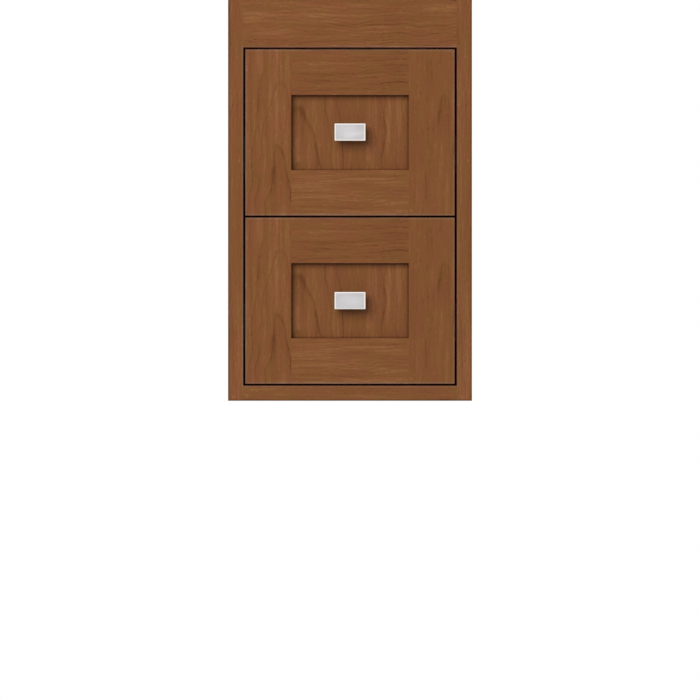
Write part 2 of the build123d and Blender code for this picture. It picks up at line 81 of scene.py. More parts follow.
def vector_calc(tree, operation, *terms):
    """The result of one sum on vectors, a number for a length or a dot product."""
    made = add(tree, "ShaderNodeVectorMath", dict(enumerate(terms)), operation=operation)
    return made.outputs["Value" if operation in ("LENGTH", "DOT_PRODUCT") else "Vector"]


def step(tree, value, start, end, low=0.0, high=1.0):
    """An eased step from low to high as the value goes from start to end."""
    inputs = {"Value": value, "From Min": start, "From Max": end, "To Min": low, "To Max": high}
    return add(tree, "ShaderNodeMapRange", inputs, interpolation_type="SMOOTHSTEP").outputs["Result"]


def blend(tree, factor, first, second, mode="MIX"):
    """A colour that goes from the first to the second with the factor."""
    made = add(tree, "ShaderNodeMix", {0: factor, 6: first, 7: second}, data_type="RGBA", blend_type=mode)
    return made.outputs[2]


def noise(tree, place, scale, detail=2.0, crispness=0.55):
    """A cloud of about 1 / scale metres, as outputs for a number, the first, and a colour."""
    inputs = {"Vector": place, "Scale": scale, "Detail": detail, "Roughness": crispness}
    return add(tree, "ShaderNodeTexNoise", inputs).outputs


def new_group(name, inputs, outputs):
    """An empty node group with named sockets, and its input and output nodes' sockets."""
    tree = bpy.data.node_groups.new(name, "ShaderNodeTree")
    kinds = {"vector": "NodeSocketVector", "value": "NodeSocketFloat", "colour": "NodeSocketColor"}
    for direction, sockets in (("INPUT", inputs), ("OUTPUT", outputs)):
        for socket, kind in sockets.items():
            tree.interface.new_socket(socket, in_out=direction, socket_type=kinds[kind])
    return tree, tree.nodes.new("NodeGroupInput").outputs, tree.nodes.new("NodeGroupOutput").inputs


def wood_grain_group():
    """Growth rings round a pith line that leans through the board, so a flat face cuts them into long arches.

    A point's ring is its distance from the pith over the ring width: the root of (across - pith across)
    squared plus (through + pith depth + slope times along) squared. Each ring darkens slowly to its late
    wood and then starts again, and some years are darker than others. Fibres, streaks, bands, flecks and
    clouds are noises drawn out along the board, and the shade lifts or lowers the whole board.
    A panel glued up from strips has a strip width, and each strip is a board of its own: the strip's number,
    across over the strip width rounded to a whole one, picks where in the tree it was cut.
    """
    strip_spread = Vector((0.06, 0.02, 0.9))
    wave_reach = Vector((0.019, 0.004, 0.0))
    year_pitch, year_swing = 0.58, 0.9
    growth_start, late_start, growth_end, late_end = 0.20, 0.78, 0.90, 0.93
    slow_weight = 0.35
    pale_year, dark_year = 0.35, 1.1
    faded_line, fading = 0.45, (0.30, 0.70)
    late_tone, strip_tone = -0.42, 0.16
    pale_fleck, pale_flecks = 0.24, (0.64, 0.76)
    dark_fleck, dark_flecks = -0.18, (0.36, 0.26)
    blushing = (0.40, 0.60)
    end_grain = (0.60, 0.52, 0.46, 1.0)
    late_height = -0.5
    least_roughness, roughness_swing = 0.36, 0.22
    numbers = ("Strip", "Pith Across", "Pith Depth", "Slope", "Ring Width", "Figure", "Shade", "End")
    colours = ("Dark", "Mid", "Light", "Blush")
    inputs = {"Board": "vector", **dict.fromkeys(numbers, "value"), **dict.fromkeys(colours, "colour")}
    outputs = {"Color": "colour", "Height": "value", "Roughness": "value"}
    tree, given, result = new_group("wood_grain", inputs, outputs)

    place = add(tree, "ShaderNodeSeparateXYZ", {0: given["Board"]}).outputs
    number = calc(tree, "ROUND", calc(tree, "DIVIDE", place["X"], given["Strip"]))
    pick = add(tree, "ShaderNodeTexWhiteNoise", {"W": number}, noise_dimensions="1D").outputs
    moved = calc(tree, "MINIMUM", calc(tree, "ABSOLUTE", number), 1.0)
    shift = vector_calc(tree, "MULTIPLY_ADD", pick["Color"], strip_spread, -strip_spread / 2)
    shift = vector_calc(tree, "MULTIPLY", shift, moved)
    middle = calc(tree, "MULTIPLY", number, given["Strip"])
    middle = add(tree, "ShaderNodeCombineXYZ", {"X": middle}).outputs[0]
    strip = vector_calc(tree, "ADD", vector_calc(tree, "SUBTRACT", given["Board"], middle), shift)

    def along_strip(share, scale, detail):
        """A noise on the strip with its length shrunk to a share, so that it runs along the grain."""
        return noise(tree, vector_calc(tree, "MULTIPLY", strip, (1.0, 1.0, share)), scale, detail)

    wave = along_strip(share=0.60, scale=30.0, detail=1.0)["Color"]
    wave = vector_calc(tree, "MULTIPLY_ADD", wave, wave_reach, -wave_reach / 2)
    bent = add(tree, "ShaderNodeSeparateXYZ", {0: vector_calc(tree, "ADD", strip, wave)}).outputs
    across = calc(tree, "SUBTRACT", bent["X"], given["Pith Across"])
    depth = calc(tree, "ADD", bent["Y"], given["Pith Depth"])
    depth = calc(tree, "MULTIPLY_ADD", bent["Z"], given["Slope"], depth)
    from_pith = add(tree, "ShaderNodeCombineXYZ", {"X": across, "Y": depth}).outputs[0]
    ring = calc(tree, "DIVIDE", vector_calc(tree, "LENGTH", from_pith), given["Ring Width"])
    ring_line = add(tree, "ShaderNodeCombineXYZ", {"X": ring}).outputs[0]
    ring = calc(tree, "MULTIPLY_ADD", noise(tree, ring_line, year_pitch, 1.0)[0], year_swing, ring)
    whole_years = calc(tree, "FLOOR", ring)
    year = add(tree, "ShaderNodeTexWhiteNoise", {"W": whole_years}, noise_dimensions="1D").outputs["Value"]
    season = calc(tree, "FRACT", ring)
    slow = calc(tree, "MULTIPLY", step(tree, season, growth_start, growth_end), slow_weight)
    late = calc(tree, "MULTIPLY_ADD", step(tree, season, late_start, late_end), 1.0 - slow_weight, slow)
    late = calc(tree, "MULTIPLY", late, step(tree, season, late_end, 1.0, 1.0, 0.0))
    late = calc(tree, "MULTIPLY", late, step(tree, year, 0.0, 1.0, pale_year, dark_year))
    clouds = along_strip(share=0.30, scale=20.0, detail=2.0)["Color"]
    cloud = add(tree, "ShaderNodeSeparateColor", {0: clouds}).outputs
    late = calc(tree, "MULTIPLY", late, step(tree, cloud["Red"], *fading, faded_line, 1.0))

    fibre = along_strip(share=0.075, scale=850.0, detail=3.0)[0]
    streak = along_strip(share=0.065, scale=300.0, detail=2.0)[0]
    band = along_strip(share=0.060, scale=120.0, detail=2.0)[0]
    fleck = along_strip(share=0.40, scale=460.0, detail=1.0)[0]
    mottle = along_strip(share=0.50, scale=70.0, detail=2.0)[0]

    figure = calc(tree, "MULTIPLY", late, given["Figure"])
    tone = calc(tree, "MULTIPLY_ADD", figure, late_tone, given["Shade"])
    for part, weight in ((fibre, 0.50), (streak, 0.54), (band, 0.78), (cloud["Green"], 0.36)):
        tone = calc(tree, "MULTIPLY_ADD", calc(tree, "SUBTRACT", part, 0.5), weight, tone)
    strip_tint = calc(tree, "MULTIPLY", calc(tree, "SUBTRACT", pick["Value"], 0.5), moved)
    tone = calc(tree, "MULTIPLY_ADD", strip_tint, strip_tone, tone)
    tone = calc(tree, "MULTIPLY_ADD", step(tree, fleck, *pale_flecks), pale_fleck, tone)
    tone = calc(tree, "MULTIPLY_ADD", step(tree, fleck, *dark_flecks), dark_fleck, tone)
    colour = blend(tree, step(tree, tone, 0.0, 0.5), given["Dark"], given["Mid"])
    colour = blend(tree, step(tree, tone, 0.5, 1.0), colour, given["Light"])
    colour = blend(tree, step(tree, mottle, *blushing), colour, given["Blush"], "MULTIPLY")
    colour = blend(tree, given["End"], colour, end_grain, "MULTIPLY")
    tree.links.new(colour, result["Color"])
    tree.links.new(calc(tree, "MULTIPLY_ADD", late, late_height, fibre), result["Height"])
    tree.links.new(calc(tree, "MULTIPLY_ADD", streak, roughness_swing, least_roughness), result["Roughness"])
    return tree


def rim_group():
    """How near a point is to an edge of a box, from 0 to 1, a little uneven.

    Of the distances to the box's three pairs of faces the least is that of the face the point lies on, so
    the second least, the sum less the least and the greatest, is the distance to the nearest edge.
    """
    # The uneven break-up runs over edge marks of wear, painted highlight and painted shade alike.
    break_up_scale, least_break_up, break_up_range = 240.0, 0.8, (0.2, 0.6)
    inputs = {"Place": "vector", "Centre": "vector", "Half": "vector", "Reach": "value"}
    tree, given, result = new_group("uneven_edge_rim", inputs, {"Rim": "value"})
    offset = vector_calc(tree, "ABSOLUTE", vector_calc(tree, "SUBTRACT", given["Place"], given["Centre"]))
    gap = vector_calc(tree, "ABSOLUTE", vector_calc(tree, "SUBTRACT", given["Half"], offset))
    x, y, z = add(tree, "ShaderNodeSeparateXYZ", {0: gap}).outputs
    least = calc(tree, "MINIMUM", calc(tree, "MINIMUM", x, y), z)
    most = calc(tree, "MAXIMUM", calc(tree, "MAXIMUM", x, y), z)
    total = calc(tree, "ADD", calc(tree, "ADD", x, y), z)
    second = calc(tree, "SUBTRACT", calc(tree, "SUBTRACT", total, least), most)
    near = step(tree, second, 0.0, given["Reach"], 1.0, 0.0)
    break_up = step(tree, noise(tree, given["Place"], break_up_scale)[0], *break_up_range, least_break_up, 1.0)
    tree.links.new(calc(tree, "MULTIPLY", near, break_up), result["Rim"])
    return tree


def common_box(names):
    """Centre and half size of the box round some CAD nodes."""
    boxes = np.array([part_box(name) for name in names])
    low, high = boxes[:, 0].min(axis=0), boxes[:, 1].max(axis=0)
    return Vector((low + high) / 2), Vector((high - low) / 2)


def new_material(name):
    """A material with its node tree, its shader and its texture coordinates."""
    material = bpy.data.materials.new(name)
    material.use_nodes = True
    tree = material.node_tree
    return material, tree, tree.nodes["Principled BSDF"].inputs, add(tree, "ShaderNodeTexCoord").outputs


wood_grain = wood_grain_group()
uneven_edge_rim = rim_group()
# The darker colour of faces inside the case is painted shade.
inside_painted_shade = (0.18, 0.09, 0.05, 1.0)
end_face, broad_face, inner_face = (0.55, 0.9), (0.3, 0.6), (0.5, 0.9)
lacquer_coat, lacquer_roughness, lacquer_shine = 0.32, 0.45, 0.16
pore_strength, pore_depth = 0.22, 0.00016


def board(name, node, palette, turn, grain, edges=(), plies=None, strip=1.0, shade=0.60, inside=None):
    """A stained or lacquered wood for one board: its grain runs along the turned Z, centred on the board.

    The grain gives the pith's place across and in depth, its slope, the ring width, the figure's weight and
    how far along its plank the board was cut. Each of the edges is a rim group with its box, its tint and
    how far the tint reaches. Plies is the thickness of plywood's layers, and strip the width of the strips
    in a glued-up panel. The shade is the board's place between the palette's dark, 0, and its light, 1.
    A face that looks the way of inside is painted darker as shade and has no lacquer. Which way
    a face looks is the dot product of its normal and that way, eased over a range.
    """
    material, tree, shader, place = new_material(name)
    across, depth, slope, ring, figure, cut = grain
    matrix = Euler(turn).to_matrix()
    plank_start = common_box([node])[0] - cut * matrix.col[2]
    mapping = {"Vector": place["Object"], "Location": plank_start, "Rotation": turn}
    turned = add(tree, "ShaderNodeMapping", mapping, vector_type="TEXTURE").outputs[0]
    facing = calc(tree, "ABSOLUTE", vector_calc(tree, "DOT_PRODUCT", place["Normal"], matrix.col[2]))
    end = step(tree, facing, *end_face)
    inputs = {"Board": turned, "Strip": strip, "Pith Across": across, "Pith Depth": depth - slope * cut,
              "Slope": slope, "Ring Width": ring, "Figure": figure, "Shade": shade, "End": end, **palette}
    wood = add(tree, "ShaderNodeGroup", inputs, node_tree=wood_grain).outputs
    colour = wood["Color"]
    if plies:
        through = add(tree, "ShaderNodeSeparateXYZ", {0: turned}).outputs["Y"]
        broad = calc(tree, "ABSOLUTE", vector_calc(tree, "DOT_PRODUCT", place["Normal"], matrix.col[1]))
        inputs = {"Through": through, "Layer": plies, "Edge": step(tree, broad, *broad_face, 1.0, 0.0)}
        band = add(tree, "ShaderNodeGroup", inputs, node_tree=ply_layers).outputs["Band"]
        colour = blend(tree, band, colour, ply_edge, "MULTIPLY")
    if inside:
        inner = step(tree, vector_calc(tree, "DOT_PRODUCT", place["Normal"], inside), *inner_face)
        colour = blend(tree, inner, colour, inside_painted_shade, "MULTIPLY")
        coat = calc(tree, "MULTIPLY_ADD", inner, -lacquer_coat, lacquer_coat)
        tree.links.new(coat, shader["Coat Weight"])
        shader["Coat Roughness"].default_value = lacquer_roughness
    for group, (edge_centre, edge_half), tint, reach in edges:
        inputs = {"Place": place["Object"], "Centre": edge_centre, "Half": edge_half, "Reach": reach}
        near = add(tree, "ShaderNodeGroup", inputs, node_tree=group).outputs["Rim"]
        colour = blend(tree, near, colour, tint, "MULTIPLY")
    pores = {"Height": wood["Height"], "Strength": pore_strength, "Distance": pore_depth}
    tree.links.new(colour, shader["Base Color"])
    tree.links.new(wood["Roughness"], shader["Roughness"])
    tree.links.new(add(tree, "ShaderNodeBump", pores).outputs[0], shader["Normal"])
    # A board with a bare side has its lacquer as a coat instead, because a coat can end at an edge.
    shader["Specular IOR Level"].default_value = 0.0 if inside else lacquer_shine
    return material


def dress(node, material):
    """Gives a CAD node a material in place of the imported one."""
    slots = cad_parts[node].data.materials
    slots.clear()
    slots.append(material)


stained_cherry = {
    "Dark": (0.110, 0.037, 0.0085, 1.0),
    "Mid": (0.196, 0.076, 0.0225, 1.0),
    "Light": (0.280, 0.121, 0.0435, 1.0),
    "Blush": (1.02, 0.93, 1.08, 1.0),
}
case_outside = common_box(["left_side_panel", "right_side_panel", "left_frame_stile"])
# Outer edges are lightened and greyed, partly as wear and partly as a painted highlight.
wear_and_highlight_edge = (1.15, 1.30, 1.55, 1.0)
side_edge_reach = 0.0016
strip_width = 0.0885
along_z_side = (0.0, 0.0, math.radians(90.0))
side_boards = {
    "left_side_panel": ((0.012, 0.070, 0.030, 0.0046, 0.9, 0.0), (1.0, 0.0, 0.0)),
    "right_side_panel": ((-0.010, 0.075, -0.028, 0.0046, 0.9, 0.0), (-1.0, 0.0, 0.0)),
}
for panel, (grain, inside) in side_boards.items():
    edges = [(uneven_edge_rim, case_outside, wear_and_highlight_edge, side_edge_reach)]
    dress(panel, board(f"stained_{panel}", panel, stained_cherry, along_z_side, grain, edges,
                       strip=strip_width, inside=inside))


# Floor and back
# Thick and thin plywood faced with cherry and stained, the back painted darker on its front as shade.
# They lie in rabbets in the sides, so only their cut edges show the layers.
def ply_group():
    """Veneers on a plywood's edge: bands through its thickness, by turns end grain and long grain.

    The distance through over a layer's thickness runs up to 1 and down to 0, and its upper half is a band.
    """
    glue_line = (0.42, 0.58)
    inputs = {"Through": "value", "Layer": "value", "Edge": "value"}
    tree, given, result = new_group("ply_layers", inputs, {"Band": "value"})
    band = calc(tree, "PINGPONG", calc(tree, "DIVIDE", given["Through"], given["Layer"]), 1.0)
    band = step(tree, band, *glue_line)
    tree.links.new(calc(tree, "MULTIPLY", band, given["Edge"]), result["Band"])
    return tree


ply_layers = ply_group()
ply_edge = (0.46, 0.36, 0.27, 1.0)
thick_ply, thin_ply = 0.0015, 0.0012
along_y_flat = (math.radians(-90.0), 0.0, 0.0)
along_z = (0.0, 0.0, 0.0)
towards_front = (0.0, -1.0, 0.0)
floor_grain = (0.03, 0.13, 0.020, 0.006, 0.8, 0.7)
back_grain = (-0.04, 0.12, 0.026, 0.006, 0.8, 1.5)
dress("case_floor", board("stained_case_floor", "case_floor", stained_cherry, along_y_flat, floor_grain,
                          plies=thick_ply))
dress("back_panel", board("stained_back_panel", "back_panel", stained_cherry, along_z, back_grain,
                          plies=thin_ply, inside=towards_front))

# Top stretchers and hanging rails
# Solid cherry rails dowelled across the case: two flat ones take the counter's screws, and two upright
# ones, painted darker as shade on the side that looks into the case, take the wall's.
along_x_flat = (math.radians(90.0), 0.0, math.radians(90.0))
along_x = (0.0, math.radians(-90.0), 0.0)
stretcher_edge_reach = 0.0014
stretcher_grain = {
    "front_top_stretcher": (0.05, 0.07, 0.018, 0.0042, 1.0, 0.0),
    "rear_top_stretcher": (-0.06, 0.07, 0.018, 0.0042, 1.0, 1.3),
}
for stretcher, grain in stretcher_grain.items():
    edges = [(uneven_edge_rim, common_box([stretcher]), wear_and_highlight_edge, stretcher_edge_reach)]
    dress(stretcher, board(f"stained_{stretcher}", stretcher, stained_cherry, along_x_flat, grain, edges))
hanging_grain = {
    "upper_hanging_rail": (0.02, 0.06, 0.022, 0.0042, 1.0, 2.1),
    "lower_hanging_rail": (-0.08, 0.06, 0.022, 0.0042, 1.0, 3.2),
}
for rail, grain in hanging_grain.items():
    dress(rail, board(f"stained_{rail}", rail, stained_cherry, along_x, grain, inside=towards_front))

# Dowels
# Turned beech pegs, glued half in the sides or stiles and half in the ends of the rails.
# They are bare wood, because the joints cover them.
beech = {
    "Dark": (0.36, 0.20, 0.100, 1.0),
    "Mid": (0.50, 0.31, 0.170, 1.0),
    "Light": (0.60, 0.41, 0.250, 1.0),
    "Blush": (1.04, 0.94, 0.90, 1.0),
}
peg_grain = (0.04, 0.05, 0.010, 0.003, 0.6, 0.0)
for pegs in ("case_dowels", "frame_dowels"):
    dress(pegs, board(f"beech_{pegs}", pegs, beech, along_x, peg_grain))


# Face frame
# Two full-height stiles of stained cherry, with the deep apron and the bottom rail dowelled between them.
# Its outer edges are darker, the gaps' very corners carry painted shade, and beside the gaps the eased
# edge carries a pale painted highlight.
def opening_group():
    """How near a point is to the front edge of an opening, from 0 to 1.

    The edge is as far off as the greater of the distance to the opening's outline and the depth behind the
    opening's centre, which lies on the front.
    """
    inputs = {"Place": "vector", "Centre": "vector", "Half": "vector", "Reach": "value"}
    tree, given, result = new_group("opening_rim", inputs, {"Rim": "value"})
    offset = vector_calc(tree, "ABSOLUTE", vector_calc(tree, "SUBTRACT", given["Place"], given["Centre"]))
    past = vector_calc(tree, "SUBTRACT", offset, given["Half"])
    past = vector_calc(tree, "MAXIMUM", past, (0.0, 0.0, 0.0))
    outline = vector_calc(tree, "LENGTH", vector_calc(tree, "MULTIPLY", past, (1.0, 0.0, 1.0)))
    behind = add(tree, "ShaderNodeSeparateXYZ", {0: offset}).outputs["Y"]
    near = step(tree, calc(tree, "MAXIMUM", outline, behind), 0.0, given["Reach"], 1.0, 0.0)
    tree.links.new(near, result["Rim"])
    return tree


opening_rim = opening_group()
under_counter = Vector((0.0, 0.0, 0.005))
frame_centre, frame_half = common_box(["left_frame_stile", "right_frame_stile", "apron"])
# This box reaches past the top, which the counter covers, so that only the other outer edges darken.
frame_outside = (frame_centre + under_counter, frame_half + under_counter)
front_face = frame_centre.y - frame_half.y
opening_low = Vector((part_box("left_frame_stile")[1].x, front_face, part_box("bottom_frame_rail")[1].z))
opening_high = Vector((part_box("right_frame_stile")[0].x, front_face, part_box("apron")[0].z))
frame_opening = ((opening_low + opening_high) / 2, (opening_high - opening_low) / 2)
# The face frame is darker along its outer edges.
outer_edge, outer_reach = (0.52, 0.50, 0.50, 1.0), 0.0032
# A pale painted highlight beside the gaps.
gap_painted_highlight, gap_highlight_reach = (1.04, 1.60, 3.00, 1.0), 0.0028
# Painted shade in the gaps' very corners.
gap_painted_shade, gap_shade_reach = (0.46, 0.10, 0.03, 1.0), 0.0011
frame_edges = [
    (uneven_edge_rim, frame_outside, outer_edge, outer_reach),
    (opening_rim, frame_opening, gap_painted_highlight, gap_highlight_reach),
    (opening_rim, frame_opening, gap_painted_shade, gap_shade_reach),
]
frame_boards = {
    "left_frame_stile": (along_z, (0.075, 0.05, 0.012, 0.0036, 0.9, 4.6), 0.58),
    "right_frame_stile": (along_z, (-0.090, 0.06, 0.010, 0.0036, 0.9, 4.6), 0.63),
    "apron": (along_x, (0.060, 0.070, 0.022, 0.0034, 1.6, 0.0), 0.63),
    "bottom_frame_rail": (along_x, (-0.070, 0.040, 0.014, 0.0034, 0.9, 2.7), 0.61),
}
for member, (turn, grain, shade) in frame_boards.items():
    dress(member, board(f"stained_{member}", member, stained_cherry, turn, grain, frame_edges, shade=shade))


# Outer slide rails, their screws and stops
# Each outer rail is rolled from steel strip with a black coat and screwed to the side through its web.
# A rubber stop sits in its back end, where the other rails come to rest.
def rolled_metal_group():
    """Rolled and plated metal: fine lines along Y, slow clouds in the plating and a few bright scuffs."""
    bare_metal = (0.86, 0.86, 0.86, 1.0)
    scuffing, scuff_weight, scuff_height = (0.66, 0.76), 0.35, -0.4
    dulling = (0.3, 0.7)
    line_roughness, cloud_roughness = 0.25, -0.30
    inputs = {"Place": "vector", "Metal": "colour", "Dull": "colour", "Gloss": "value"}
    outputs = {"Color": "colour", "Height": "value", "Roughness": "value"}
    tree, given, result = new_group("rolled_metal", inputs, outputs)

    def along_strip(share, scale, detail):
        """A noise with the length along Y shrunk to a share, so that it runs along the rolled strip."""
        return noise(tree, vector_calc(tree, "MULTIPLY", given["Place"], (1.0, share, 1.0)), scale, detail)[0]

    line = along_strip(share=0.012, scale=2200.0, detail=2.0)
    cloud = along_strip(share=0.25, scale=70.0, detail=3.0)
    scuff = step(tree, along_strip(share=0.08, scale=700.0, detail=1.0), *scuffing)
    colour = blend(tree, step(tree, cloud, *dulling), given["Dull"], given["Metal"])
    colour = blend(tree, calc(tree, "MULTIPLY", scuff, scuff_weight), colour, bare_metal)
    rough = calc(tree, "MULTIPLY_ADD", calc(tree, "SUBTRACT", line, 0.5), line_roughness, given["Gloss"])
    rough = calc(tree, "MULTIPLY_ADD", calc(tree, "SUBTRACT", cloud, 0.5), cloud_roughness, rough)
    tree.links.new(colour, result["Color"])
    tree.links.new(calc(tree, "MULTIPLY_ADD", scuff, scuff_height, line), result["Height"])
    tree.links.new(rough, result["Roughness"])
    return tree


rolled_metal = rolled_metal_group()
line_depth = 0.00006


def metal(name, bright, dull, gloss, turn=(0.0, 0.0, 0.0), grit=0.12):
    """A plated metal whose rolling lines run along the turned Y, with its tree, shader and coordinates."""
    material, tree, shader, place = new_material(name)
    mapping = {"Vector": place["Object"], "Rotation": turn}
    turned = add(tree, "ShaderNodeMapping", mapping, vector_type="TEXTURE").outputs[0]
    inputs = {"Place": turned, "Metal": bright, "Dull": dull, "Gloss": gloss}
    plate = add(tree, "ShaderNodeGroup", inputs, node_tree=rolled_metal).outputs
    lines = {"Height": plate["Height"], "Strength": grit, "Distance": line_depth}
    tree.links.new(plate["Color"], shader["Base Color"])
    tree.links.new(plate["Roughness"], shader["Roughness"])
    tree.links.new(add(tree, "ShaderNodeBump", lines).outputs[0], shader["Normal"])
    shader["Metallic"].default_value = 1.0
    return material, tree, shader, place


def dusty_black(name, colour, dusty, roughness, pitch):
    """A black coat, rubber or plastic: a fine even texture of one pitch, with pale dust in slow clouds."""
    dust_scale, dust_roughness, dusting = 90.0, 0.25, (0.45, 0.85)
    texture_strength, texture_depth = 0.3, 0.00008
    material, tree, shader, place = new_material(name)
    dust = step(tree, noise(tree, place["Object"], dust_scale, 4.0)[0], *dusting)
    texture = noise(tree, place["Object"], 1.0 / pitch, 1.0)[0]
    bumps = {"Height": texture, "Strength": texture_strength, "Distance": texture_depth}
    tree.links.new(blend(tree, dust, colour, dusty), shader["Base Color"])
    tree.links.new(calc(tree, "MULTIPLY_ADD", dust, dust_roughness, roughness), shader["Roughness"])
    tree.links.new(add(tree, "ShaderNodeBump", bumps).outputs[0], shader["Normal"])
    return material


drawers = ("lower", "upper")
sides = ("left", "right")
rail_black, rail_dust = (0.010, 0.010, 0.011, 1.0), (0.024, 0.023, 0.022, 1.0)
stop_black, stop_dust = (0.022, 0.022, 0.023, 1.0), (0.07, 0.068, 0.064, 1.0)
bright_zinc, dull_zinc = (0.72, 0.72, 0.72, 1.0), (0.52, 0.52, 0.53, 1.0)
rail_coat = dusty_black("rail_coat", rail_black, rail_dust, roughness=0.38, pitch=0.0006)
stop_rubber = dusty_black("stop_rubber", stop_black, stop_dust, roughness=0.68, pitch=0.0007)
zinc_screw = metal("zinc_screw", bright_zinc, dull_zinc, gloss=0.28)[0]
for drawer in drawers:
    for side in sides:
        dress(f"{drawer}_{side}_outer_rail", rail_coat)
dress("outer_rail_screws", zinc_screw)
dress("slide_bumpers", stop_rubber)

# Drawer boxes
# Solid maple boards, dovetailed at all four corners, with a plywood bottom held in grooves.
# They are clear-coated, so the pins show as darker end grain on the sides.
clear_maple = {
    "Dark": (0.45, 0.285, 0.145, 1.0),
    "Mid": (0.60, 0.425, 0.250, 1.0),
    "Light": (0.71, 0.545, 0.365, 1.0),
    "Blush": (1.02, 0.95, 0.90, 1.0),
}
box_edge_reach = 0.0012
along_y_upright = (math.radians(-90.0), math.radians(-90.0), 0.0)
box_boards = {
    "box_left_side": (along_y_upright, (0.03, 0.09, 0.024, 0.0042, 1.0, 0.0)),
    "box_right_side": (along_y_upright, (-0.05, 0.08, 0.020, 0.0042, 1.0, 1.1)),
    "box_front": (along_x, (0.06, 0.07, 0.018, 0.0042, 1.0, 2.3)),
    "box_back": (along_x, (-0.02, 0.10, 0.026, 0.0042, 1.0, 3.4)),
}
bottom_grain = (-0.05, 0.12, 0.022, 0.006, 0.8, 0.0)
for drawer in drawers:
    for member, (turn, grain) in box_boards.items():
        node = f"{drawer}_{member}"
        edges = [(uneven_edge_rim, common_box([node]), wear_and_highlight_edge, box_edge_reach)]
        dress(node, board(f"maple_{node}", node, clear_maple, turn, grain, edges))
    node = f"{drawer}_box_bottom"
    dress(node, board(f"plywood_{node}", node, clear_maple, along_y_flat, bottom_grain, plies=thin_ply))

# Drawer fronts
# Each front is two stiles and two rails of stained cherry round a panel that floats in their grooves, and
# four screws from inside hold it to the box. The two fronts are cut alike, with the grain along each piece.
front_boards = {
    "left_stile": (along_z, (0.0135, 0.0671, 0.0406, 0.0042, 0.85, 0.0), 0.60),
    "right_stile": (along_z, (0.0150, 0.0652, 0.0406, 0.0042, 0.60, 4.15), 0.53),
    "top_rail": (along_x, (0.085, 0.060, 0.016, 0.0034, 1.0, 0.0), 0.53),
    "bottom_rail": (along_x, (-0.090, 0.075, 0.018, 0.0034, 1.0, 0.9), 0.66),
    "panel": (along_z, (-0.065, 0.0576, 0.105, 0.0088, 0.88, 3.05), 0.585),
}
front_highlight_reach = 0.0036
# Painted shade in the recess's corners round the panel.
recess_painted_shade, recess_shade_reach = (0.55, 0.46, 0.42, 1.0), 0.0036
for drawer in drawers:
    front = {member: f"{drawer}_front_{member}" for member in front_boards}
    whole = common_box(front.values())
    opening_low = Vector((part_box(front["left_stile"])[1].x, whole[0].y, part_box(front["bottom_rail"])[1].z))
    opening_high = Vector((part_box(front["right_stile"])[0].x, whole[0].y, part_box(front["top_rail"])[0].z))
    # The recess's box ends at the panel's face, so that its edges are the corners round the panel.
    opening_half = (opening_high - opening_low) / 2
    opening_half.y = whole[0].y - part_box(front["panel"])[0].y
    recess = ((opening_low + opening_high) / 2, opening_half)
    # The front's outer edges carry the pale painted highlight and, at their very corners, the gaps' painted
    # shade.
    rim_edges = [
        (uneven_edge_rim, whole, gap_painted_highlight, front_highlight_reach),
        (uneven_edge_rim, whole, gap_painted_shade, gap_shade_reach),
    ]
    # The panel's edges in the recess carry the painted shade.
    recess_edges = [(uneven_edge_rim, recess, recess_painted_shade, recess_shade_reach)]
    for member, (turn, grain, shade) in front_boards.items():
        node = front[member]
        edges = recess_edges if member == "panel" else rim_edges
        dress(node, board(f"stained_{node}", node, stained_cherry, turn, grain, edges, shade=shade))
    dress(f"{drawer}_front_screws", zinc_screw)


# Knobs
# Each knob is one die-cast block with a satin nickel plate: an oblong head with a polished bevel that carries
# a painted highlight, on a neck that flares to its foot. One screw from inside the box draws it against the
# panel.
def oblong_rings(rows, turns=13):
    """Points of stacked round-cornered oblongs, a row each of depth, half width, half height and corner.

    On each of the four corners the point is the corner's centre, a half size less the corner radius, plus
    the radius along an angle that goes a quarter turn.
    """
    depth, half_width, half_height, radius = np.array(rows).T[:, :, None]
    quarter = np.arange(4)[:, None]
    angle = ((quarter + np.linspace(0.0, 1.0, turns)) * math.pi / 2).ravel()
    side_x = np.repeat([1.0, -1.0, -1.0, 1.0], turns)
    side_z = np.repeat([1.0, 1.0, -1.0, -1.0], turns)
    x = side_x * (half_width - radius) + radius * np.cos(angle)
    z = side_z * (half_height - radius) + radius * np.sin(angle)
    return np.stack([x, np.broadcast_to(-depth, x.shape), z], axis=-1)


def skin(name, rings, material, crease):
    """A closed mesh over stacked rings of points, with flat caps and with edges sharp past a crease."""
    rows, columns = rings.shape[:2]
    index = np.arange(rows * columns).reshape(rows, columns)
    following = np.roll(index, -1, axis=1)
    quads = np.stack([index[:-1], following[:-1], following[1:], index[1:]], axis=-1).reshape(-1, 4)
    caps = [index[0][::-1].tolist(), index[-1].tolist()]
    mesh = bpy.data.meshes.new(name)
    mesh.from_pydata(rings.reshape(-1, 3), [], [*quads.tolist(), *caps])
    mesh.shade_smooth()
    mesh.set_sharp_from_angle(angle=crease)
    mesh.materials.append(material)
    piece = bpy.data.objects.new(name, mesh)
    bpy.context.collection.objects.link(piece)
    return piece


def between(tree, value, rise, fall):
    """A mask that comes up over one range of the value and goes down again over another."""
    return calc(tree, "MULTIPLY", step(tree, value, *rise), step(tree, value, *fall, 1.0, 0.0))


# The plating's bright clouds run aslant with the brushing, a painted diagonal sheen across the knob's face.
brushing_and_sheen_aslant = (math.radians(-20.0), 0.0, math.radians(90.0))
bright_nickel = (0.73, 0.715, 0.725, 1.0)
dull_nickel = (0.63, 0.615, 0.625, 1.0)
# The bevel's colour is lightened, a painted highlight; its lower roughness is its polish.
polished_bevel_highlight = (1.0, 0.93, 0.85, 1.0)
# A dark line on the corner chamfer, a painted reflection of the dark wood round the knob.
painted_dark_reflection = (0.10, 0.09, 0.085, 1.0)
